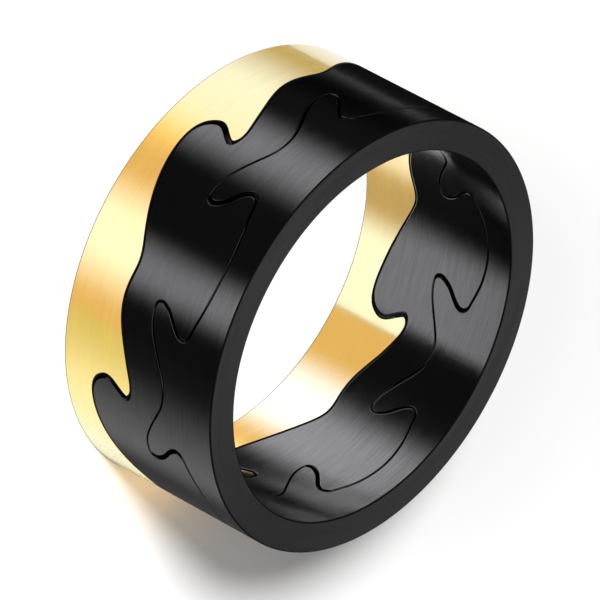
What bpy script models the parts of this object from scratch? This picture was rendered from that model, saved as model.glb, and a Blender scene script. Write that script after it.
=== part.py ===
"""A ring of three interlocked bands, one gold and two black, lying on its side.

Metres, +Z up. The ring's axis is +Z through the origin and the gold band's plain
face lies on z = 0. Two wavy seams part the bands. Both repeat five times around the
ring and run straight through its wall, towards the axis:

- the hook seam, between the gold band and the middle band,
- the arch seam, between the middle band and the front band.

Every band is built from its two edges, laid out flat on the unrolled ring.
"""
import math

import bmesh
import bpy
import numpy as np
from mathutils import Vector, geometry

MM = 0.001

INNER_RADIUS = 9.10 * MM
OUTER_RADIUS = 10.62 * MM
WIDTH = 9.15 * MM  # all three bands together, along the axis

REPEATS = 5  # how often both seams repeat around the ring
SECTOR_DEG = 360 / REPEATS
FIRST_DEG = -158.7  # where the first sector starts, on the crown of an arch

FACE_GAP = 0.05 * MM  # between two bands where the seam runs around the ring
SIDE_GAP = 0.15 * MM  # between two bands where the seam runs along the axis
SEAM_ARRIS = 0.06 * MM  # chamfer on the seam's edges
RIM_ARRIS = 0.14 * MM  # chamfer on the edges of the two plain faces

RIM_STEPS = 24  # straight pieces per sector on a plain face
SEAM_STEP = 0.65 * MM  # longest straight piece of a seam
SEAM_TURN_DEG = 27  # most that a seam bends from one piece to the next
ROW_STEP = 1.15 * MM  # spacing of the rows of points inside a band's surface
ROW_CLEARANCE = 0.36 * MM  # nearest that such a point comes to the band's edge

# The hook seam over one repeat: the angle from the hook's crest, and the height
# above the gold band's plain face.
HOOK_CREST_DEG = -119.0
HOOK_SEAM = [
    # degrees, mm
    (0.0, 4.18),
    (2.0, 4.08),
    (2.9, 3.89),
    (2.4, 3.65),
    (1.1, 3.31),
    (-0.1, 2.98),
    (-0.5, 2.69),
    (0.1, 2.35),
    (1.7, 2.01),
    (4.0, 1.80),
    (7.0, 1.71),
    (10.5, 1.72),
    (19.0, 1.98),
    (29.0, 2.59),
    (33.5, 2.93),
    (37.0, 3.15),
    (40.0, 3.21),
    (44.0, 3.12),
    (48.5, 3.05),
    (53.0, 3.15),
    (60.8, 3.63),
    (67.0, 4.01),
]

# The arch seam over half a repeat: the angle from the arch's crown, and the height.
# The other half is its mirror image.
ARCH_CROWN_DEG = -86.7
HALF_ARCH_SEAM = [
    # degrees, mm
    (0.0, 7.73),
    (6.5, 7.65),
    (12.0, 7.47),
    (16.8, 7.24),
    (19.2, 7.07),
    (20.0, 6.82),
    (19.4, 6.51),
    (17.6, 6.17),
    (15.4, 5.82),
    (14.0, 5.47),
    (13.5, 5.16),
    (14.1, 4.94),
    (15.8, 4.86),
    (18.8, 4.92),
    (23.5, 5.26),
    (28.5, 5.76),
    (32.0, 6.07),
    (36.0, 6.19),
]


def along(degrees):
    """Where an angle lies on the unrolled outer face, in metres."""
    return np.radians(degrees) * OUTER_RADIUS


SECTOR = along(SECTOR_DEG)


def smooth_seam(table, zero_deg, samples=120):
    """A dense smooth curve through one repeat of a table: (points, unit tangents)."""
    knots = np.array([(along(zero_deg + deg), high * MM) for deg, high in table])
    count = len(knots)
    nexts = np.roll(knots, -1, axis=0)
    nexts[-1, 0] += SECTOR
    steps = nexts - knots
    span = np.hypot(*steps.T)
    slopes = steps / span[:, None]

    # the knots' tangents that make the bend change smoothly through every knot
    weights = np.zeros((count, count))
    for i in range(count):
        weights[i, i] = 2 / span[i - 1] + 2 / span[i]
        weights[i, i - 1] += 1 / span[i - 1]
        weights[i, (i + 1) % count] += 1 / span[i]
    pull = 3 * slopes / span[:, None]
    tangents = np.linalg.solve(weights, pull + np.roll(pull, 1, axis=0))

    points, ways = [], []
    for i in range(count):
        t = np.linspace(0, 1, samples, endpoint=False)[:, None]
        start, end = knots[i], nexts[i]
        leave, arrive = tangents[i] * span[i], tangents[(i + 1) % count] * span[i]
        rise = end - start
        points.append(
            start + leave * t
            + (3 * rise - 2 * leave - arrive) * t**2
            + (leave + arrive - 2 * rise) * t**3
        )
        ways.append(
            leave
            + 2 * (3 * rise - 2 * leave - arrive) * t
            + 3 * (leave + arrive - 2 * rise) * t**2
        )
    points, ways = np.vstack(points), np.vstack(ways)
    return points, ways / np.hypot(*ways.T)[:, None]


def one_repeat(points, ways):
    """The same curve from FIRST_DEG on, with pieces as short as its bends ask."""
    start = int(np.argmax(points[:, 0] >= along(FIRST_DEG)))
    if start == 0:
        shift = math.floor((points[0, 0] - along(FIRST_DEG)) / SECTOR) * SECTOR
        start = int(np.argmax(points[:, 0] >= along(FIRST_DEG) + shift + SECTOR))
    wrapped = points[:start] + (SECTOR, 0)
    points = np.vstack([points[start:], wrapped, points[start] + (SECTOR, 0)])
    ways = np.vstack([ways[start:], ways[:start], ways[start]])
    points[:, 0] -= round((points[0, 0] - along(FIRST_DEG)) / SECTOR) * SECTOR

    length = np.hypot(*np.diff(points, axis=0).T)
    cosines = np.clip((ways[1:] * ways[:-1]).sum(axis=1), -1, 1)
    effort = length / SEAM_STEP + np.arccos(cosines) / math.radians(SEAM_TURN_DEG)
    total = np.concatenate([[0], np.cumsum(effort)])
    pieces = math.ceil(total[-1])
    picks = np.searchsorted(total, np.linspace(0, total[-1], pieces + 1) - 1e-9)
    return points[picks], ways[picks]


def seam_edges(table, zero_deg):
    """The edges of the bands below and above a seam: (points, outward, arris)."""
    points, ways = one_repeat(*smooth_seam(table, zero_deg))
    up = np.column_stack([-ways[:, 1], ways[:, 0]])
    gap = np.hypot(SIDE_GAP * up[:, 0], FACE_GAP * up[:, 1])[:, None]
    below = points - up * gap / 2, up, SEAM_ARRIS
    above = points + up * gap / 2, -up, SEAM_ARRIS
    return below, above


def rim_edge(height, outward):
    """The edge of a plain face: (points, outward, arris)."""
    x = along(FIRST_DEG) + np.linspace(0, SECTOR, RIM_STEPS + 1)
    points = np.column_stack([x, np.full_like(x, height)])
    return points, np.tile((0.0, outward), (len(x), 1)), RIM_ARRIS


def inset(edge, distance):
    points, outward, _ = edge
    return points - outward * distance


def inner_points(outline):
    """Points of a regular grid that lie well inside a closed outline."""
    ends = np.roll(outline, -1, axis=0)
    run = ends - outline
    x = outline[0, 0] + np.arange(1, RIM_STEPS) * SECTOR / RIM_STEPS
    rows = round(WIDTH / ROW_STEP)
    z = (np.arange(rows) + 0.5) * WIDTH / rows
    found = []
    for point in np.array(np.meshgrid(x, z)).reshape(2, -1).T:
        to = point - outline
        part = np.clip((to * run).sum(axis=1) / (run**2).sum(axis=1), 0, 1)
        near = np.hypot(*(to - run * part[:, None]).T).min()
        spans = (outline[:, 1] > point[1]) != (ends[:, 1] > point[1])
        rise = np.where(run[:, 1] == 0, 1, run[:, 1])
        crossing = outline[:, 0] + run[:, 0] * (point[1] - outline[:, 1]) / rise
        inside = np.count_nonzero(spans & (crossing > point[0])) % 2
        if inside and near > ROW_CLEARANCE:
            found.append(point)
    return found


def flat_surface(lower, upper):
    """One sector of a band's surface, laid flat: (points, triangles)."""
    rows = max(1, round((upper[0, 1] - lower[0, 1]) / ROW_STEP))
    parts = np.linspace(0, 1, rows + 1)[1:-1, None]
    left = upper[0] + (lower[0] - upper[0]) * parts
    right = (left + (SECTOR, 0))[::-1]
    outline = np.vstack([lower, right, upper[::-1], left])
    points = np.vstack([outline, *inner_points(outline)])
    flat, _, triangles, sources, _, _ = geometry.delaunay_2d_cdt(
        [Vector(p / MM) for p in points],
        [],
        [list(range(len(outline)))],
        1,
        1e-6,
    )
    return points[[source[0] for source in sources]], triangles


def on_ring(points, radius, sector):
    """Laid-flat points rolled up at a radius, in one sector of the ring."""
    angle = points[:, 0] / OUTER_RADIUS + math.radians(sector * SECTOR_DEG)
    x, y = radius * np.cos(angle), radius * np.sin(angle)
    return np.column_stack([x, y, points[:, 1]])


def add_points(bm, points):
    return [bm.verts.new(p) for p in points]


def make_band(name, lower, upper, colour, roughness):
    """One band between its two edges, as a closed solid."""
    bm = bmesh.new()
    low_arris, high_arris = lower[2], upper[2]
    flat, triangles = flat_surface(inset(lower, low_arris), inset(upper, high_arris))
    for sector in range(REPEATS):
        for radius, way in ((OUTER_RADIUS, 1), (INNER_RADIUS, -1)):
            verts = add_points(bm, on_ring(flat, radius, sector))
            for triangle in triangles:
                bm.faces.new([verts[i] for i in triangle][::way])
        for edge, arris in ((lower, low_arris), (upper, high_arris)):
            profile = [
                (arris, OUTER_RADIUS),
                (0.0, OUTER_RADIUS - arris),
                (0.0, INNER_RADIUS + arris),
                (arris, INNER_RADIUS),
            ]
            rings = [
                add_points(bm, on_ring(inset(edge, back), radius, sector))
                for back, radius in profile
            ]
            for near, far in zip(rings, rings[1:]):
                for i in range(len(near) - 1):
                    bm.faces.new((near[i], near[i + 1], far[i + 1], far[i]))
    bmesh.ops.remove_doubles(bm, verts=bm.verts, dist=1e-8)
    bmesh.ops.recalc_face_normals(bm, faces=bm.faces)
    mesh = bpy.data.meshes.new(name)
    bm.to_mesh(mesh)
    bm.free()
    band = bpy.data.objects.new(name, mesh)
    bpy.context.scene.collection.objects.link(band)
    mesh.materials.append(metal(f"{name}_metal", colour, roughness))
    return band


def metal(name, colour, roughness):
    material = bpy.data.materials.new(name)
    material.use_nodes = True
    shader = material.node_tree.nodes["Principled BSDF"]
    shader.inputs["Base Color"].default_value = (*colour, 1.0)
    shader.inputs["Roughness"].default_value = roughness
    shader.inputs["Metallic"].default_value = 1.0
    material.diffuse_color = (*colour, 1.0)
    return material


def main():
    for item in list(bpy.data.objects):
        bpy.data.objects.remove(item, do_unlink=True)

    mirrored = [(SECTOR_DEG - deg, high) for deg, high in HALF_ARCH_SEAM[-2:0:-1]]
    hook_below, hook_above = seam_edges(HOOK_SEAM, HOOK_CREST_DEG)
    arch_below, arch_above = seam_edges(HALF_ARCH_SEAM + mirrored, ARCH_CROWN_DEG)

    gold = (0.80, 0.56, 0.22)
    black = (0.035, 0.035, 0.038)
    make_band("gold_band", rim_edge(0.0, -1.0), hook_below, gold, 0.28)
    make_band("middle_band", hook_above, arch_below, black, 0.30)
    make_band("front_band", arch_above, rim_edge(WIDTH, 1.0), black, 0.30)


main()
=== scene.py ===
# %% [markdown]
# # A ring of three interlocked bands
#
# The real object is a wide, flat finger ring of plated steel. It is cut into three
# bands by two wavy seams: a gold band, a black middle band and a black front band.
# The script loads the ring's solids as a frame, makes each band again as a fine mesh
# with rounded arrises, gives it a brushed metal finish, and lights it like a small
# product studio.
#

import math
from collections import namedtuple

import bmesh
import bpy
import numpy as np
from mathutils import Matrix, Vector, geometry


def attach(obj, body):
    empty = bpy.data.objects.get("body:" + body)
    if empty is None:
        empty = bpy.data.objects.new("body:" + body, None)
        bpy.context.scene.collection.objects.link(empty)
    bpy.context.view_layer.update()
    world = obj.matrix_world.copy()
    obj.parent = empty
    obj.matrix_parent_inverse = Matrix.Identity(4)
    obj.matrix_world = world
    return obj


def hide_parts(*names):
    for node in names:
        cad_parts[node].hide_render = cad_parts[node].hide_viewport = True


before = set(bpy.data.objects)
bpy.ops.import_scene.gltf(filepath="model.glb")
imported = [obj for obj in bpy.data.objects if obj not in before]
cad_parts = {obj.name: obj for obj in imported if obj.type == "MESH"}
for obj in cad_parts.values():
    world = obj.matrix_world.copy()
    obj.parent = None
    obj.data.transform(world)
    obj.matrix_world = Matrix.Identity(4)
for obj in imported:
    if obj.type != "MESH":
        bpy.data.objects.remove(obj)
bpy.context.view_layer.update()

# %% [markdown]
# ## The ring's sizes
#
# A ring is easiest to draw when it is unrolled: x runs around the outer face, z runs
# along the finger, and the wall's depth is the radius. The same few sizes then serve
# all three bands. The ring lies on the gold band's plain face, with its axis upright.

# %% Sizes
MM = 0.001
INNER_RADIUS = 9.10 * MM
OUTER_RADIUS = 10.62 * MM
WIDTH = 9.15 * MM

REPEATS = 5  # both seams repeat this often around the ring
SECTOR_DEG = 360 / REPEATS
FIRST_DEG = -158.7  # the first sector starts on the crown of an arch

FACE_GAP = 0.05 * MM  # between two bands where the seam runs around the ring
SIDE_GAP = 0.15 * MM  # and where it runs along the axis
TURNED, PRESSED = 0.06 * MM, 0.03 * MM  # how far a seam's upper edge is moved in it
LEAST_GAP = 0.03 * MM
SEAM_ROUNDING = 0.06 * MM
RIM_ROUNDING = 0.07 * MM


def along(degrees):
    """Where an angle lies on the unrolled outer face, in metres."""
    return np.radians(degrees) * OUTER_RADIUS


SECTOR = along(SECTOR_DEG)
print(f"one sector is {SECTOR / MM:.2f} mm long")

# %% [markdown]
# ## The two seams
#
# A seam is a closed wavy line. One repeat of it is read off as a short table of
# angles and heights, and a curve is put through the rows. A cubic spline is used
# rather than straight pieces or arcs, because its bend changes smoothly, as the
# path of a real cutting tool does. The hooks of the gold seam lean over, so the
# curve turns back on itself and can't be a plain function of the angle.

# %% Seam tables
HOOK_CREST_DEG = -119.0
HOOK_SEAM = [
    # degrees from the hook's crest, mm above the gold face
    (0.0, 4.18),
    (2.0, 4.08),
    (2.9, 3.89),
    (2.4, 3.65),
    (1.1, 3.31),
    (-0.1, 2.98),
    (-0.5, 2.69),
    (0.1, 2.35),
    (1.7, 2.01),
    (4.0, 1.80),
    (7.0, 1.71),
    (10.5, 1.72),
    (19.0, 1.98),
    (29.0, 2.59),
    (33.5, 2.93),
    (37.0, 3.15),
    (40.0, 3.21),
    (44.0, 3.12),
    (48.5, 3.05),
    (53.0, 3.15),
    (60.8, 3.63),
    (67.0, 4.01),
]

ARCH_CROWN_DEG = -86.7
HALF_ARCH_SEAM = [
    # degrees from the arch's crown, mm above the gold face
    (0.0, 7.73),
    (6.5, 7.65),
    (12.0, 7.47),
    (16.8, 7.24),
    (19.2, 7.07),
    (20.0, 6.82),
    (19.4, 6.51),
    (17.6, 6.17),
    (15.4, 5.82),
    (14.0, 5.47),
    (13.5, 5.16),
    (14.1, 4.94),
    (15.8, 4.86),
    (18.8, 4.92),
    (23.5, 5.26),
    (28.5, 5.76),
    (32.0, 6.07),
    (36.0, 6.19),
]
ARCH_SEAM = HALF_ARCH_SEAM + [
    (SECTOR_DEG - deg, high) for deg, high in HALF_ARCH_SEAM[-2:0:-1]
]
print(len(HOOK_SEAM), "and", len(ARCH_SEAM), "rows make one repeat of each seam")

# %% The smooth curve through a table
CURVE_SAMPLES = 120


def knot_tangents(knots, span, slopes):
    """The tangents that let the bend change smoothly through every knot."""
    count = len(knots)
    weights = np.zeros((count, count))
    for i in range(count):
        weights[i, i] = 2 / span[i - 1] + 2 / span[i]
        weights[i, i - 1] += 1 / span[i - 1]
        weights[i, (i + 1) % count] += 1 / span[i]
    pull = 3 * slopes / span[:, None]
    return np.linalg.solve(weights, pull + np.roll(pull, 1, axis=0))


def smooth_seam(table, zero_deg):
    """A dense curve through one repeat of a table: (points, unit tangents)."""
    knots = np.array([(along(zero_deg + deg), high * MM) for deg, high in table])
    nexts = np.roll(knots, -1, axis=0)
    nexts[-1, 0] += SECTOR
    rises = nexts - knots
    span = np.hypot(*rises.T)
    tangents = knot_tangents(knots, span, rises / span[:, None])

    points, ways = [], []
    t = np.linspace(0, 1, CURVE_SAMPLES, endpoint=False)[:, None]
    for i, (start, rise) in enumerate(zip(knots, rises)):
        leave = tangents[i] * span[i]
        arrive = tangents[(i + 1) % len(knots)] * span[i]
        square = 3 * rise - 2 * leave - arrive
        cube = leave + arrive - 2 * rise
        points.append(start + leave * t + square * t**2 + cube * t**3)
        ways.append(leave + 2 * square * t + 3 * cube * t**2)
    points, ways = np.vstack(points), np.vstack(ways)
    return points, ways / np.hypot(*ways.T)[:, None]


# %% [markdown]
# ## From curve to edge
#
# Each band ends in an edge: a seam on one side, and a seam or a plain face on the
# other. An edge is a row of points with the direction that points out of the band.
# The pieces are short where the curve bends and longer where it runs straight, so
# the small hooks stay round without wasting faces on the long slopes.
#
# The bands fit with a little play, and they don't lie centred in it. To show that,
# the upper edge of each seam is turned and lowered by a few hundredths of a
# millimetre. So the seam's black line is wide on one side of a hook and thin on the
# other.

# %% Edges of the bands
SEAM_STEP = 0.22 * MM
SEAM_TURN_DEG = 7
RIM_STEPS = 48
ROUND_OFF = 1e-9
PLATE, ARRIS, PAINTED_SHADE = range(3)  # which finish a face takes

# outward points out of the band; arris and wall are the finishes of those faces
Edge = namedtuple("Edge", "points outward rounding arris wall")


def one_repeat(points, ways):
    """The same curve from FIRST_DEG on, with pieces as short as its bends ask."""
    start = int(np.argmax(points[:, 0] >= along(FIRST_DEG)))
    if start == 0:
        turns = math.floor((points[0, 0] - along(FIRST_DEG)) / SECTOR) + 1
        start = int(np.argmax(points[:, 0] >= along(FIRST_DEG) + turns * SECTOR))
    points = np.vstack([points[start:], points[: start + 1] + (SECTOR, 0)])
    ways = np.vstack([ways[start:], ways[: start + 1]])
    points[:, 0] -= round((points[0, 0] - along(FIRST_DEG)) / SECTOR) * SECTOR

    length = np.hypot(*np.diff(points, axis=0).T)
    cosines = np.clip((ways[1:] * ways[:-1]).sum(axis=1), -1, 1)
    effort = length / SEAM_STEP + np.arccos(cosines) / math.radians(SEAM_TURN_DEG)
    total = np.concatenate([[0], np.cumsum(effort)])
    pieces = math.ceil(total[-1])
    wanted = np.linspace(0, total[-1], pieces + 1)
    picks = np.searchsorted(total, wanted - ROUND_OFF)
    return points[picks], ways[picks]


def seam_edges(table, zero_deg, turned, below_arris=ARRIS):
    """The edges below and above a seam; the upper one is turned and pressed down."""
    points, ways = one_repeat(*smooth_seam(table, zero_deg))
    up = np.column_stack([-ways[:, 1], ways[:, 0]])
    even = np.hypot(SIDE_GAP * up[:, 0], FACE_GAP * up[:, 1])[:, None]
    moved = np.array([turned, -PRESSED])
    kept_clear = np.maximum(LEAST_GAP - even - up @ moved[:, None], 0)
    below = points - up * even / 2
    above = points + up * (even / 2 + kept_clear) + moved
    return (
        Edge(below, up, SEAM_ROUNDING, below_arris, PAINTED_SHADE),
        Edge(above, -up, SEAM_ROUNDING, ARRIS, PAINTED_SHADE),
    )


def rim_edge(height, outward, arris=ARRIS):
    """The edge of a plain face at this height; outward is 1 for up, -1 for down."""
    x = along(FIRST_DEG) + np.linspace(0, SECTOR, RIM_STEPS + 1)
    points = np.column_stack([x, np.full_like(x, height)])
    ways = np.tile((0.0, outward), (len(x), 1))
    return Edge(points, ways, RIM_ROUNDING, arris, PLATE)


# the gold's arris along the hook seam and the arris around the front face take the
# near black finish of the cut walls: a painted shade that draws a dark line there
hook_below, hook_above = seam_edges(HOOK_SEAM, HOOK_CREST_DEG, TURNED, below_arris=PAINTED_SHADE)
arch_below, arch_above = seam_edges(ARCH_SEAM, ARCH_CROWN_DEG, -TURNED)
BAND_EDGES = {
    "gold_band": (rim_edge(0.0, -1.0), hook_below),
    "middle_band": (hook_above, arch_below),
    "front_band": (arch_above, rim_edge(WIDTH, 1.0, arris=PAINTED_SHADE)),
}
for name, (lower, upper) in BAND_EDGES.items():
    print(f"{name}: {len(lower.points)} and {len(upper.points)} points to a sector")

# %% [markdown]
# ## One sector of a band, laid flat
#
# The outer and the inner face of a sector have the same outline on the unrolled
# ring. A constrained Delaunay triangulation fills it, with a grid of points inside
# so that the faces can follow the ring's curve once it is rolled up. Between the
# two faces runs the edge's profile: a quarter round, the straight wall of the cut,
# and another quarter round. The exact normal of every point is known here, so it is
# kept as an attribute and goes with the point through everything that follows.

# %% The flat outline filled with triangles
ROW_STEP = 0.42 * MM
ROW_CLEARANCE = 0.10 * MM
ROUND_STEPS = 4
FILL_INSIDE, WELD_WITHIN = 1, 1e-6  # for the triangulation, which works in mm


def inset(edge, distance):
    return edge.points - edge.outward * distance


def inner_points(outline):
    """Points of a regular grid that lie well inside a closed outline."""
    ends = np.roll(outline, -1, axis=0)
    run = ends - outline
    x = outline[0, 0] + np.arange(1, RIM_STEPS) * SECTOR / RIM_STEPS
    rows = round(WIDTH / ROW_STEP)
    z = (np.arange(rows) + 0.5) * WIDTH / rows
    found = []
    for point in np.array(np.meshgrid(x, z)).reshape(2, -1).T:
        to = point - outline
        part = np.clip((to * run).sum(axis=1) / (run**2).sum(axis=1), 0, 1)
        near = np.hypot(*(to - run * part[:, None]).T).min()
        spans = (outline[:, 1] > point[1]) != (ends[:, 1] > point[1])
        rise = np.where(run[:, 1] == 0, 1, run[:, 1])
        crossing = outline[:, 0] + run[:, 0] * (point[1] - outline[:, 1]) / rise
        inside = np.count_nonzero(spans & (crossing > point[0])) % 2
        if inside and near > ROW_CLEARANCE:
            found.append(point)
    return found


def flat_surface(lower, upper):
    """One sector of a band's face, laid flat: (points, triangles)."""
    rows = max(1, round((upper[0, 1] - lower[0, 1]) / ROW_STEP))
    parts = np.linspace(0, 1, rows + 1)[1:-1, None]
    left = upper[0] + (lower[0] - upper[0]) * parts
    right = (left + (SECTOR, 0))[::-1]
    outline = np.vstack([lower, right, upper[::-1], left])
    points = np.vstack([outline, *inner_points(outline)])
    _, _, triangles, sources, _, _ = geometry.delaunay_2d_cdt(
        [Vector(p / MM) for p in points],
        [],
        [list(range(len(outline)))],
        FILL_INSIDE,
        WELD_WITHIN,
    )
    return points[[source[0] for source in sources]], triangles


# %% The flat sector as a mesh
def edge_profile(rounding):
    """Rings from the outer face to the inner one: (inset, radius, outward, radial)."""
    arc = np.radians(np.linspace(0, 90, ROUND_STEPS + 1))
    rings = []
    for angles, radius, side in ((arc, OUTER_RADIUS, 1), (arc[::-1], INNER_RADIUS, -1)):
        for angle in angles:
            out, radial = math.sin(angle), math.cos(angle)
            back, down = rounding * (1 - out), rounding * (1 - radial)
            rings.append((back, radius - side * down, out, side * radial))
    return rings


def flat_sector(name, lower, upper):
    """A mesh whose x runs around the ring, y is the radius and z the height."""
    points, normals, faces, finishes = [], [], [], []

    def add(flat, radius, normal):
        first = len(points)
        points.extend((x, radius, z) for x, z in flat)
        normals.extend(normal)
        return first

    face, triangles = flat_surface(*(inset(e, e.rounding) for e in (lower, upper)))
    for radius, way in ((OUTER_RADIUS, 1), (INNER_RADIUS, -1)):
        first = add(face, radius, [(0.0, float(way), 0.0)] * len(face))
        faces.extend([first + i for i in triangle][::way] for triangle in triangles)
        finishes.extend([PLATE] * len(triangles))
    for edge in (lower, upper):
        rings = []
        for back, radius, out, radial in edge_profile(edge.rounding):
            # the cut runs towards the axis, so its wall turns a little with depth
            wall = edge.outward * (OUTER_RADIUS / radius, 1.0)
            wall /= np.hypot(*wall.T)[:, None]
            normal = [(out * x, radial, out * z) for x, z in wall]
            rings.append(add(inset(edge, back), radius, normal))
        for step, (near, far) in enumerate(zip(rings, rings[1:])):
            for i in range(len(edge.points) - 1):
                faces.append((near + i, near + i + 1, far + i + 1, far + i))
                finishes.append(edge.wall if step == ROUND_STEPS else edge.arris)
    mesh = bpy.data.meshes.new(f"{name}_flat_sector")
    mesh.from_pydata(points, [], faces)
    kept = mesh.attributes.new("flat_normal", "FLOAT_VECTOR", "POINT")
    kept.data.foreach_set("vector", np.array(normals, dtype=np.float32).ravel())
    kept = mesh.attributes.new("finish", "INT", "FACE")
    kept.data.foreach_set("value", finishes)
    return mesh


# %% [markdown]
# ## Rolling a band up
#
# The band is the same sector five times over, bent round a circle. That is a rule,
# so Geometry Nodes do it: a line of points takes one copy of the flat sector each,
# the copies are made real, every point's x becomes an angle and its y the distance
# from the axis, and points that meet are welded. The tree is one for all bands and
# takes the sizes and the finish as named inputs.

# %% The node tree that rolls a band up
def node(tree, kind, links=(), **settings):
    """A new node, with its settings and its linked inputs."""
    made = tree.nodes.new(kind)
    for key, value in settings.items():
        setattr(made, key, value)
    for socket, source in dict(links).items():
        if isinstance(source, bpy.types.NodeSocket):
            tree.links.new(source, made.inputs[socket])
        else:
            made.inputs[socket].default_value = source
    return made


def math_node(tree, operation, a, b=0.0):
    return node(tree, "ShaderNodeMath", {0: a, 1: b}, operation=operation).outputs[0]


def roll_up_tree():
    tree = bpy.data.node_groups.new("roll_up_band", "GeometryNodeTree")
    sockets = {}
    for label, kind in (
        ("Flat sector", "NodeSocketGeometry"),
        ("Repeats", "NodeSocketInt"),
        ("Sector length", "NodeSocketFloat"),
        ("Outer radius", "NodeSocketFloat"),
        ("Weld distance", "NodeSocketFloat"),
        ("Plate finish", "NodeSocketMaterial"),
        ("Arris finish", "NodeSocketMaterial"),
        ("Painted shade finish", "NodeSocketMaterial"),
    ):
        item = tree.interface.new_socket(label, in_out="INPUT", socket_type=kind)
        sockets[label] = item.identifier
    tree.interface.new_socket("Band", in_out="OUTPUT", socket_type="NodeSocketGeometry")
    given = tree.nodes.new("NodeGroupInput").outputs

    step = node(tree, "ShaderNodeCombineXYZ", {"X": given["Sector length"]})
    line = node(
        tree,
        "GeometryNodeMeshLine",
        {"Count": given["Repeats"], "Offset": step.outputs[0]},
        mode="OFFSET",
    )
    copies = node(
        tree,
        "GeometryNodeInstanceOnPoints",
        {"Points": line.outputs["Mesh"], "Instance": given["Flat sector"]},
    )
    real = node(tree, "GeometryNodeRealizeInstances", {0: copies.outputs[0]})

    place = node(tree, "GeometryNodeInputPosition")
    flat = node(tree, "ShaderNodeSeparateXYZ", {0: place.outputs[0]})
    angle = math_node(tree, "DIVIDE", flat.outputs["X"], given["Outer radius"])
    radius = flat.outputs["Y"]
    rolled = node(
        tree,
        "ShaderNodeCombineXYZ",
        {
            "X": math_node(tree, "MULTIPLY", math_node(tree, "COSINE", angle), radius),
            "Y": math_node(tree, "MULTIPLY", math_node(tree, "SINE", angle), radius),
            "Z": flat.outputs["Z"],
        },
    )
    bent = node(
        tree,
        "GeometryNodeSetPosition",
        {"Geometry": real.outputs[0], "Position": rolled.outputs[0]},
    )
    welded = node(
        tree,
        "GeometryNodeMergeByDistance",
        {"Geometry": bent.outputs[0], "Distance": given["Weld distance"]},
    )
    kind = node(
        tree, "GeometryNodeInputNamedAttribute", {"Name": "finish"}, data_type="INT"
    )
    band = welded
    for number, label in enumerate(("Plate finish", "Arris finish", "Painted shade finish")):
        chosen = node(
            tree,
            "FunctionNodeCompare",
            {2: kind.outputs["Attribute"], 3: number},
            data_type="INT",
            operation="EQUAL",
        )
        band = node(
            tree,
            "GeometryNodeSetMaterial",
            {
                "Geometry": band.outputs[0],
                "Selection": chosen.outputs[0],
                "Material": given[label],
            },
        )
    out = tree.nodes.new("NodeGroupOutput")
    tree.links.new(band.outputs[0], out.inputs[0])
    return tree, sockets


ROLL_UP, ROLL_INPUTS = roll_up_tree()
print("roll_up_band takes", ", ".join(ROLL_INPUTS))

# %% [markdown]
# After the tree has run, its result is turned into a plain mesh and the modifier is
# taken off. The normals that came along on the flat sector are turned by each
# point's angle and set as the mesh's own, so the outer face shades as a true
# cylinder and the arrises as true rounds, whatever the triangles look like.

# %% Make a band from its sector
WELD = 0.0005 * MM


def rolled_normals(mesh):
    """The flat sector's normals, turned with the points they belong to."""
    count = len(mesh.vertices)
    flat, place = np.empty(count * 3), np.empty(count * 3)
    mesh.attributes["flat_normal"].data.foreach_get("vector", flat)
    mesh.vertices.foreach_get("co", place)
    flat, place = flat.reshape(-1, 3), place.reshape(-1, 3)
    radial = place[:, :2] / np.hypot(*place[:, :2].T)[:, None]
    tangent = np.column_stack([-radial[:, 1], radial[:, 0]])
    across = tangent * flat[:, :1] + radial * flat[:, 1:2]
    return np.column_stack([across, flat[:, 2]])


# cut is the near black finish of the cut walls and of some arrises, a painted shade
def make_band(name, plate, arris, cut):
    sector = flat_sector(name, *BAND_EDGES[name])
    carrier = bpy.data.objects.new(f"{name}_sector", sector)
    bpy.context.scene.collection.objects.link(carrier)
    modifier = carrier.modifiers.new("roll_up", "NODES")
    modifier.node_group = ROLL_UP
    for label, value in (
        ("Repeats", REPEATS),
        ("Sector length", float(SECTOR)),
        ("Outer radius", OUTER_RADIUS),
        ("Weld distance", WELD),
        ("Plate finish", plate),
        ("Arris finish", arris),
        ("Painted shade finish", cut),
    ):
        modifier[ROLL_INPUTS[label]] = value
    evaluated = carrier.evaluated_get(bpy.context.evaluated_depsgraph_get())
    mesh = bpy.data.meshes.new_from_object(evaluated)
    bpy.data.objects.remove(carrier, do_unlink=True)

    bm = bmesh.new()
    bm.from_mesh(mesh)
    bmesh.ops.recalc_face_normals(bm, faces=bm.faces)
    open_edges = sum(len(edge.link_faces) != 2 for edge in bm.edges)
    bm.to_mesh(mesh)
    bm.free()
    mesh.shade_smooth()
    mesh.normals_split_custom_set_from_vertices(rolled_normals(mesh).tolist())
    for kept in ("flat_normal", "finish"):
        mesh.attributes.remove(mesh.attributes[kept])
    mesh.name = f"{name}_fine"
    band = bpy.data.objects.new(f"{name}_fine", mesh)
    bpy.context.scene.collection.objects.link(band)
    triangles = sum(len(face.vertices) - 2 for face in mesh.polygons)
    print(name, triangles, "triangles,", open_edges, "open edges")
    return band


# %% [markdown]
# ## Brushed metal
#
# Both colours of plating lie over steel that was brushed while it turned, so fine
# lines run around the ring. On the walls they follow the height, on the plain faces
# the radius. A noise that is stretched along the angle gives such lines. Its
# coordinates are the direction from the axis, which closes on itself without a
# seam, and height plus radius. It is a group, because gold and black both use it.

# %% The brushing group
PLATE_LINES, ARRIS_LINES = 11000.0, 9000.0  # how closely the lines lie
LINE_LENGTH = 5.0
STREAK_LINES, STREAK_LENGTH = 0.22, 0.35  # the broad streaks, as a share of the lines


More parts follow.
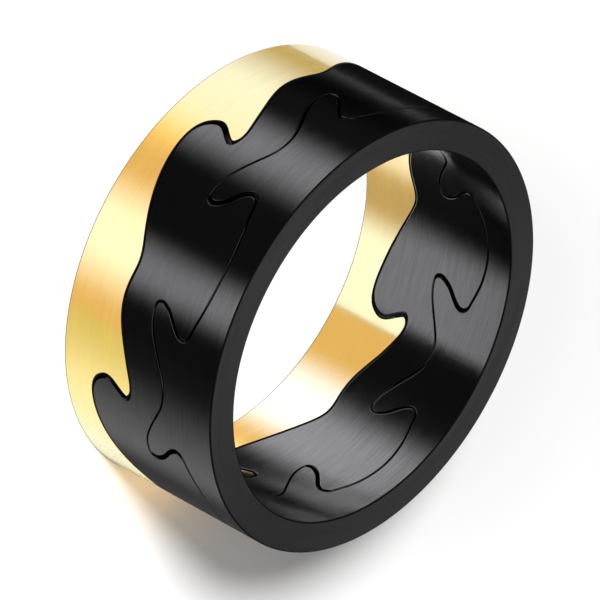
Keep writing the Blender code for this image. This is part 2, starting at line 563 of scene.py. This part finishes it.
def brushing_group():
    group = bpy.data.node_groups.new("brushing_around", "ShaderNodeTree")
    for label, side, kind in (
        ("Position", "INPUT", "NodeSocketVector"),
        ("Line density", "INPUT", "NodeSocketFloat"),
        ("Lines", "OUTPUT", "NodeSocketFloat"),
        ("Streaks", "OUTPUT", "NodeSocketFloat"),
    ):
        group.interface.new_socket(label, in_out=side, socket_type=kind)
    given = group.nodes.new("NodeGroupInput").outputs

    parts = node(group, "ShaderNodeSeparateXYZ", {0: given["Position"]}).outputs
    level = node(group, "ShaderNodeCombineXYZ", {"X": parts["X"], "Y": parts["Y"]})
    reach, unit = (
        node(group, "ShaderNodeVectorMath", {0: level.outputs[0]}, operation=operation)
        for operation in ("LENGTH", "NORMALIZE")
    )
    way = node(group, "ShaderNodeSeparateXYZ", {0: unit.outputs[0]}).outputs
    # where the lines lie side by side: the height on the walls, the radius on the faces
    beside = math_node(group, "ADD", parts["Z"], reach.outputs["Value"])

    def stretched(length, density):
        return node(
            group,
            "ShaderNodeCombineXYZ",
            {
                "X": math_node(group, "MULTIPLY", way["X"], length),
                "Y": math_node(group, "MULTIPLY", way["Y"], length),
                "Z": math_node(group, "MULTIPLY", beside, density),
            },
        ).outputs[0]

    fine = node(
        group,
        "ShaderNodeTexNoise",
        {
            "Vector": stretched(LINE_LENGTH, given["Line density"]),
            "Scale": 1.0,
            "Detail": 3.0,
            "Roughness": 0.65,
        },
    )
    broad = node(
        group,
        "ShaderNodeTexNoise",
        {
            "Vector": stretched(
                LINE_LENGTH * STREAK_LENGTH,
                math_node(group, "MULTIPLY", given["Line density"], STREAK_LINES),
            ),
            "Scale": 1.0,
            "Detail": 2.0,
        },
    )
    out = group.nodes.new("NodeGroupOutput")
    group.links.new(fine.outputs["Fac"], out.inputs["Lines"])
    group.links.new(broad.outputs["Fac"], out.inputs["Streaks"])
    return group


BRUSHING = brushing_group()


# %% [markdown]
# The brushing spreads a reflection across its lines and keeps it sharp along them.
# That is what draws the long soft bands of light over the ring's width. The
# shader's anisotropy does this, with a tangent that turns around the ring's axis.
# The lines themselves also change the roughness, the colour and the surface a
# little, so that they show as lines.

# %% The plated, brushed metal
NOISE_LOW, NOISE_HIGH = 0.3, 0.7  # between which a noise mostly lies
STREAK_SHADE = (0.97, 1.03)
QUARTER_TURN = 0.25
FIRST_COLOUR, SECOND_COLOUR, MIXED_COLOUR = 6, 7, 2  # a colour mix's sockets


def between(tree, noise, low, high):
    """A noise, spread from low to high."""
    made = node(
        tree,
        "ShaderNodeMapRange",
        {
            "Value": noise,
            "From Min": NOISE_LOW,
            "From Max": NOISE_HIGH,
            "To Min": low,
            "To Max": high,
        },
    )
    return made.outputs["Result"]


def metal(name):
    """A new metal: (material, tree, shader, the place on the ring)."""
    material = bpy.data.materials.new(name)
    material.use_nodes = True
    tree = material.node_tree
    shader = tree.nodes["Principled BSDF"]
    shader.inputs["Metallic"].default_value = 1.0
    place = node(tree, "ShaderNodeTexCoord").outputs["Object"]
    return material, tree, shader, place


def brushing(tree, place, density):
    """The brushing group's outputs, Lines and Streaks."""
    links = {"Position": place, "Line density": density}
    return node(tree, "ShaderNodeGroup", links, node_tree=BRUSHING).outputs


def colour_mix(tree, factor, first, second, **settings):
    """Two colours mixed; each may be a fixed colour or a socket."""
    links = {"Factor": factor, FIRST_COLOUR: first, SECOND_COLOUR: second}
    made = node(tree, "ShaderNodeMix", links, data_type="RGBA", **settings)
    return made.outputs[MIXED_COLOUR]


def brushed_metal(name, colour, shade, roughness, anisotropy, relief, coat=None):
    """Plated metal; shade and roughness are (low, high) over the brushed lines."""
    material, tree, shader, place = metal(name)
    lines = brushing(tree, place, PLATE_LINES)
    tone = math_node(
        tree,
        "MULTIPLY",
        between(tree, lines["Lines"], *shade),
        between(tree, lines["Streaks"], *STREAK_SHADE),
    )
    tint = colour_mix(tree, 1.0, (*colour, 1.0), tone, blend_type="MULTIPLY")
    bump = node(
        tree,
        "ShaderNodeBump",
        {"Height": lines["Lines"], "Strength": 1.0, "Distance": relief},
    )
    turned = node(tree, "ShaderNodeTangent", direction_type="RADIAL", axis="Z")
    for source, socket in (
        (tint, "Base Color"),
        (between(tree, lines["Streaks"], *roughness), "Roughness"),
        (bump.outputs[0], "Normal"),
        (turned.outputs[0], "Tangent"),
    ):
        tree.links.new(source, shader.inputs[socket])
    shader.inputs["Anisotropic"].default_value = anisotropy
    shader.inputs["Anisotropic Rotation"].default_value = QUARTER_TURN
    if coat:
        shader.inputs["Coat Weight"].default_value = coat["weight"]
        shader.inputs["Coat Roughness"].default_value = coat["roughness"]
        shader.inputs["Coat IOR"].default_value = coat["ior"]
    return material


GOLD_PLATE = brushed_metal(
    "gold_plate",
    colour=(0.96, 0.66, 0.15),
    shade=(0.96, 1.02),
    roughness=(0.15, 0.20),
    anisotropy=0.95,
    relief=0.0025 * MM,
    coat={"weight": 1.0, "roughness": 0.08, "ior": 1.9},
)
BLACK_PLATE = brushed_metal(
    "black_plate",
    colour=(0.056, 0.056, 0.058),
    shade=(0.86, 1.12),
    roughness=(0.14, 0.19),
    anisotropy=0.95,
    relief=0.007 * MM,
)

# %% [markdown]
# After the brushing, a felt wheel breaks the sharp arrises. They are smoother than
# the rest, so they draw thin clean lines of light along the seams. Their colour is
# darker than the plating's, a painted shade that dims those lines, and on the gold
# turns them into dark lines. The walls of the cuts are never reached by a wheel. They
# stay rough, with the cutter's marks, and their near black colour is a painted shade
# for the narrow gaps, which is why a seam shows as a black line even beside the gold.
# The gold's arris along the hook seam and the arris around the front face take the
# same painted shade as the cuts.

# %% The polished arrises and the cut walls, darkened as painted shade
MARKS = 6000.0  # how closely the cutter's marks lie
CUT_ROUGHNESS = (0.55, 0.75)


def polished_arris(name, colour, roughness):
    """Polished metal, whose roughness varies by a tenth around the ring."""
    material, tree, shader, place = metal(name)
    streaks = brushing(tree, place, ARRIS_LINES)["Streaks"]
    rough = between(tree, streaks, roughness * 0.9, roughness * 1.1)
    tree.links.new(rough, shader.inputs["Roughness"])
    shader.inputs["Base Color"].default_value = (*colour, 1.0)
    return material


def painted_shade_steel(name, colour):
    """Raw steel with marks across its wall; its near black colour is painted shade."""
    material, tree, shader, place = metal(name)
    marks = node(
        tree, "ShaderNodeTexNoise", {"Vector": place, "Scale": MARKS, "Detail": 3.0}
    ).outputs["Fac"]
    dark = tuple(0.5 * part for part in colour)
    share = between(tree, marks, 0.0, 1.0)
    tint = colour_mix(tree, share, (*dark, 1.0), (*colour, 1.0))
    tree.links.new(tint, shader.inputs["Base Color"])
    rough = between(tree, marks, *CUT_ROUGHNESS)
    tree.links.new(rough, shader.inputs["Roughness"])
    return material


# the gold arris colour is dark brown: a painted shade that makes a dark line at the rim
DARKENED_GOLD_ARRIS = polished_arris("gold_arris_painted_shade", (0.30, 0.24, 0.13), 0.16)
# the black arris colour is darker than the plate's: a painted shade that dims its lines
DIMMED_BLACK_ARRIS = polished_arris("black_arris_painted_shade", (0.042, 0.042, 0.044), 0.14)
# near black: a painted shade for the gaps between the bands and the dark arris lines
PAINTED_SHADE_STEEL = painted_shade_steel("painted_shade_steel", (0.014, 0.013, 0.012))

# %% Build the three bands
FINISH = {
    "gold_band": (GOLD_PLATE, DARKENED_GOLD_ARRIS, "gold"),
    "middle_band": (BLACK_PLATE, DIMMED_BLACK_ARRIS, "black"),
    "front_band": (BLACK_PLATE, DIMMED_BLACK_ARRIS, "black"),
}
BANDS = {}
for name, (plate, arris, slot) in FINISH.items():
    band = BANDS[name] = make_band(name, plate, arris, PAINTED_SHADE_STEEL)
    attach(band, "root")
    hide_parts(name)

# %% [markdown]
# ## The studio
#
# Metal shows its surroundings, so they are laid out like a product photographer's
# table. A round screen stands around the ring, and a few tall soft boxes on it give
# the long bright bands. A soft box is a stretch of the screen that shines, with ends
# that fade. A second, narrow screen hangs under the finger hole, because the inner
# wall mirrors what lies there. Black cloth hangs behind it. On the far side the cloth
# has a window with one more card behind it, which lights the inner wall beside the
# front rim. The screens are seen in reflections only.
#
# Gold and black plating differ in brightness by a factor of ten or more, so one
# lighting can't suit both. On a real table that takes two exposures. Here every
# screen names the bands that its light reaches, and shines through to the next one.

# %% A round screen with soft boxes
def smooth_step(t):
    t = min(1.0, max(0.0, t))
    return t * t * (3 - 2 * t)


def screen_colour(degrees, boxes):
    """The screen's light in a direction: the sum of the boxes that reach there."""
    light = np.zeros(3)
    for first, last, fade_in, fade_out, colour in boxes:
        for turn in (-360, 0, 360):
            rise = smooth_step(1 - (first - degrees - turn) / fade_in)
            fall = smooth_step(1 - (degrees + turn - last) / fade_out)
            light += np.array(colour) * rise * fall
    return light


def empty_material(name):
    material = bpy.data.materials.new(name)
    material.use_nodes = True
    material.node_tree.nodes.clear()
    material.cycles.emission_sampling = "NONE"
    return material, material.node_tree


def show(tree, shader, kind="ShaderNodeOutputMaterial"):
    """Make a shader node what the material or the world shows."""
    tree.links.new(shader.outputs[0], tree.nodes.new(kind).inputs["Surface"])


def screen_cloth():
    """Clear cloth with a glow in the colour that its "light" attribute gives."""
    material, tree = empty_material("screen_cloth")
    given = node(tree, "ShaderNodeAttribute", attribute_name="light")
    light = node(tree, "ShaderNodeEmission", {"Color": given.outputs["Vector"]})
    clear = node(tree, "ShaderNodeBsdfTransparent")
    both = node(tree, "ShaderNodeAddShader", {0: light.outputs[0], 1: clear.outputs[0]})
    show(tree, both)
    return material


def glow(name, strength, colour=(1.0, 1.0, 1.0)):
    """Plain even light; a strength of 0 is a black cloth."""
    material, tree = empty_material(name)
    light = {"Color": (*colour, 1.0), "Strength": strength}
    show(tree, node(tree, "ShaderNodeEmission", light))
    return material


SCREEN_CLOTH = screen_cloth()
BLACK_CLOTH = glow("black_cloth", 0.0)
SCREEN_COLUMNS = 360  # one for each degree
NO_WINDOW = (0, 0)


def stage_object(name, mesh, material):
    mesh.materials.append(material)
    made = bpy.data.objects.new(name, mesh)
    bpy.context.scene.collection.objects.link(made)
    return made


def only_in_reflections(item):
    item.visible_camera = False
    item.visible_diffuse = False
    item.visible_shadow = False
    item.visible_transmission = False
    item.visible_volume_scatter = False


def shines_on(item, bands):
    """The item's light reaches these bands alone."""
    chosen = bpy.data.collections.new(f"lit_by_{item.name}")
    for band in bands:
        chosen.objects.link(BANDS[band])
    item.light_linking.receiver_collection = chosen


def round_screen(
    name, radius, heights, boxes, bands, material=SCREEN_CLOTH, window=NO_WINDOW
):
    """An upright screen; heights are rows of (height, share of the light there).

    It is left open from the first to the second direction of window, in whole degrees.
    """
    points, lights, faces = [], [], []
    for height, share in heights:
        for i in range(SCREEN_COLUMNS):
            angle = math.tau * i / SCREEN_COLUMNS
            points.append((radius * math.cos(angle), radius * math.sin(angle), height))
            lights.extend(share * screen_colour(math.degrees(angle), boxes))
    for low in range(0, (len(heights) - 1) * SCREEN_COLUMNS, SCREEN_COLUMNS):
        high = low + SCREEN_COLUMNS
        for i in range(SCREEN_COLUMNS):
            j = (i + 1) % SCREEN_COLUMNS
            if (i - window[0]) % SCREEN_COLUMNS >= window[1] - window[0]:
                faces.append((low + i, low + j, high + j, high + i))
    mesh = bpy.data.meshes.new(name)
    mesh.from_pydata(points, [], faces)
    kept = mesh.attributes.new("light", "FLOAT_VECTOR", "POINT")
    kept.data.foreach_set("vector", lights)
    screen = stage_object(name, mesh, material)
    only_in_reflections(screen)
    shines_on(screen, bands)


def black_cloth(name, radius, heights, bands, window=NO_WINDOW):
    rows = [(height, 1) for height in heights]
    round_screen(name, radius, rows, [], bands, BLACK_CLOTH, window)


# %% The screens for the black bands
# how far the screens stand from the ring's axis: around the table, below the ring
# with their upper ends hidden in its wall, and just outside it
TABLE_RADIUS, GOLD_SIDE_RADIUS, GLOW_RADIUS = 0.50, 0.48, 0.46
GOLD_BELOW_RADIUS, BLACK_BELOW_RADIUS, CLOTH_RADIUS = 9.4 * MM, 9.6 * MM, 9.8 * MM
RIM_CARD_RADIUS, CARD_CLOTH_RADIUS = 12.0 * MM, 12.5 * MM

BLACK = ("middle_band", "front_band")
BLACK_SIDE = [
    # full from, full to, fades before, fades after (degrees), colour or brightness
    (-150, -145, 20, 22, 3.3),
    (-69, -65, 18, 15, 3.0),
    (14, 26, 36, 26, 0.90),
    (-31, 60, 1, 30, 0.03),
    (137.5, 138.5, 1.5, 1.5, 0.9),
    (178, 457, 20, 2, 0.07),
]
BLACK_SIDE_HEIGHTS = [(-0.8, 1), (-0.10, 1), (0.0, 0)]
round_screen("black_side_screen", TABLE_RADIUS, BLACK_SIDE_HEIGHTS, BLACK_SIDE, BLACK)

BLACK_BELOW = [
    (146, 176, 36, 42, 4.9),
    (-69, -2, 1, 30, 3.1),
    (-178, 178, 2, 2, 0.07),
]
LOWEST, HIGHEST = -60 * MM, 3.9 * MM
BLACK_BELOW_HEIGHTS = [(LOWEST, 1), (-1.4 * MM, 1), (-0.7 * MM, 0.4), (HIGHEST, 0.4)]
round_screen(
    "black_lower_screen", BLACK_BELOW_RADIUS, BLACK_BELOW_HEIGHTS, BLACK_BELOW, BLACK
)

# the flat face mirrors the wall behind the table, and the arrises what is above that
BLACK_BACK = [(30, 150, 40, 40, 0.37)]
BACK_HEIGHTS = [(0.06, 0), (0.16, 1), (0.38, 1), (0.42, 1.8), (0.8, 1.8)]
round_screen("black_back_screen", TABLE_RADIUS, BACK_HEIGHTS, BLACK_BACK, BLACK)

# %% The screens for the gold band
GOLD = ("gold_band",)
GOLD_SIDE = [
    (100, 133, 10, 1, (0.95, 1.00, 0.98)),
    (135, 215, 1, 30, (0.55, 0.48, 0.24)),
    (233, 327, 30, 1, (0.86, 0.68, 0.47)),
    (328, 426, 1, 30, (0.78, 0.78, 0.48)),
    (186, 203, 44, 32, (0.54, 0.90, 2.10)),
    (280, 290, 30, 32, (0.56, 0.90, 2.15)),
    (14, 40, 46, 44, (0.32, 0.44, 0.80)),
]
GOLD_SIDE_HEIGHTS = [(-0.55, 1), (0.0, 1), (0.2, 1.5), (0.6, 1.5)]
round_screen("gold_side_screen", GOLD_SIDE_RADIUS, GOLD_SIDE_HEIGHTS, GOLD_SIDE, GOLD)

# light that the gold throws on the floor beside the ring, as a warm glow
GLOW = [(35, 65, 20, 25, (9.0, 5.6, 1.5))]
GLOW_HEIGHTS = [(0.1, 0), (0.15, 1), (0.7, 1)]
round_screen("gold_glow_screen", GLOW_RADIUS, GLOW_HEIGHTS, GLOW, GOLD)

GOLD_BELOW = [
    (100, 278, 20, 1, (0.90, 0.73, 0.48)),
    (280, 460, 1, 20, (0.58, 0.51, 0.42)),
    (172, 199, 40, 42, (0.55, 1.10, 3.90)),
    (280, 340, 1, 40, (0.68, 1.10, 2.40)),
    (74, 100, 26, 20, (0.55, 0.70, 1.02)),
]
GOLD_BELOW_HEIGHTS = [(-20 * MM, 1), (-3.6 * MM, 1), (-2.4 * MM, 0), (-0.1 * MM, 0)]
round_screen(
    "gold_lower_screen", GOLD_BELOW_RADIUS, GOLD_BELOW_HEIGHTS, GOLD_BELOW, GOLD
)
BANDS["gold_band"].visible_glossy = False  # the black bands don't mirror it

# black cloth behind both, with a window on the far side
WINDOW = (60, 138)
SILL = -3.6 * MM
black_cloth("lower_backing", CLOTH_RADIUS, (LOWEST, SILL), BLACK + GOLD)
black_cloth("upper_backing", CLOTH_RADIUS, (SILL, HIGHEST), BLACK + GOLD, WINDOW)

# through the window, the wall beside the front rim mirrors one more card, and the
# cloth behind that card hangs at 42 to 146 degrees alone
RIM_CARD = [(122, 138, 25, 8, 1.6)]
RIM_CARD_HEIGHTS = [(-4.9 * MM, 0), (SILL, 1), (1.6 * MM, 1)]
round_screen("rim_card", RIM_CARD_RADIUS, RIM_CARD_HEIGHTS, RIM_CARD, BLACK)
CARD_CLOTH_HEIGHTS = (-9.0 * MM, -0.9 * MM)
ELSEWHERE = (146, 42 + SCREEN_COLUMNS)
black_cloth("card_backing", CARD_CLOTH_RADIUS, CARD_CLOTH_HEIGHTS, BLACK, ELSEWHERE)

# %% [markdown]
# The arrises catch a light that hangs above. The floor is plain and nearly white. It
# is seen by the camera and takes the soft shadows of two distant lamps, but it isn't
# reflected, so that the screens below it can be. A white card lies under the finger
# hole, where no shadow should fall. The world is white for the camera, dimmer for the
# floor, and almost black for the mirror of the metal.

# %% World, floor and lights
FLOOR_HEIGHT, HOLE_CARD_HEIGHT = -0.02 * MM, -0.015 * MM  # just below the ring
FLOOR_SIZE, HOLE_CARD_RADIUS, CEILING_SIZE, UNDERGLOW_RADIUS = 4.0, 9.6 * MM, 0.62, 0.45
CEILING_HEIGHT, UNDERGLOW_HEIGHT = 0.5, -0.56


def flat_sheet(name, corners, height, material):
    mesh = bpy.data.meshes.new(name)
    mesh.from_pydata([(x, y, height) for x, y in corners], [], [range(len(corners))])
    return stage_object(name, mesh, material)


def square(size):
    half = size / 2
    return [(-half, -half), (half, -half), (half, half), (-half, half)]


def circle(radius, sides=96):
    turns = [math.tau * i / sides for i in range(sides)]
    return [(radius * math.cos(turn), radius * math.sin(turn)) for turn in turns]


def paper():
    material, tree = empty_material("pale_paper")
    show(tree, node(tree, "ShaderNodeBsdfDiffuse", {"Color": (0.8, 0.8, 0.8, 1.0)}))
    return material


floor = flat_sheet("floor", square(FLOOR_SIZE), FLOOR_HEIGHT, paper())
floor.visible_glossy = False
white = glow("white_card", 1.05)
card = flat_sheet("hole_card", circle(HOLE_CARD_RADIUS), HOLE_CARD_HEIGHT, white)
card.visible_glossy = False
card.visible_diffuse = False

lit_ceiling = glow("ceiling_glow", 3.0)
ceiling = flat_sheet("ceiling_light", square(CEILING_SIZE), CEILING_HEIGHT, lit_ceiling)
only_in_reflections(ceiling)
# seen from high above, the gold mirrors what lies far below
warm = glow("warm_underglow", 0.7, (1.0, 0.72, 0.34))
underglow = flat_sheet("underglow", circle(UNDERGLOW_RADIUS), UNDERGLOW_HEIGHT, warm)
only_in_reflections(underglow)
shines_on(underglow, GOLD)


def distant_lamp(name, toward, strength, spread_deg):
    """A lamp far away in the direction toward, for the floor's shadows alone."""
    light = bpy.data.lights.new(name, "SUN")
    light.energy = strength
    light.angle = math.radians(spread_deg)
    lamp = bpy.data.objects.new(name, light)
    bpy.context.scene.collection.objects.link(lamp)
    lamp.rotation_euler = (-Vector(toward)).to_track_quat("-Z", "Y").to_euler()
    lamp.visible_glossy = False


distant_lamp("key_lamp", (-0.228, -0.770, 0.596), strength=5.2, spread_deg=11)
distant_lamp("low_lamp", (0.06, -0.94, 0.332), strength=1.6, spread_deg=22)

world = bpy.data.worlds.new("studio_world")
bpy.context.scene.world = world
world.use_nodes = True
tree = world.node_tree
tree.nodes.clear()
path = node(tree, "ShaderNodeLightPath").outputs
for_floor, in_mirror, backdrop = (
    node(tree, "ShaderNodeBackground", {"Color": (1, 1, 1, 1), "Strength": strength})
    for strength in (0.17, 0.01, 1.0)
)
lit = node(
    tree,
    "ShaderNodeMixShader",
    {0: path["Is Glossy Ray"], 1: for_floor.outputs[0], 2: in_mirror.outputs[0]},
)
seen = node(
    tree,
    "ShaderNodeMixShader",
    {0: path["Is Camera Ray"], 1: lit.outputs[0], 2: backdrop.outputs[0]},
)
show(tree, seen, "ShaderNodeOutputWorld")

# %% [markdown]
# ## The camera
#
# The picture was taken with a long lens, tipped on its side: the ring lies on its
# gold face, and the camera is rolled until its axis runs down to the right. The
# three directions below are the camera's own axes, found from the outlines of the
# two plain faces and from the seams.

# %% Camera
RIGHT = Vector((-0.471343, 0.506913, 0.721717))
UP = Vector((-0.881950, -0.270756, -0.385818))
FORWARD = Vector((0.000167, 0.818371, -0.574691))
EYE = (0.000012, -0.370487, 0.264730)

camera = bpy.data.cameras.new("camera")
camera.sensor_width = 36.0
camera.lens = 598.2
camera.clip_start = 0.01
camera.clip_end = 20.0
turned = Matrix((RIGHT, UP, -FORWARD)).transposed().to_4x4()
viewer = bpy.data.objects.new("camera", camera)
viewer.matrix_world = Matrix.Translation(EYE) @ turned
scene = bpy.context.scene
scene.collection.objects.link(viewer)
scene.camera = viewer
scene.view_settings.view_transform = "Standard"
scene.view_settings.look = "None"
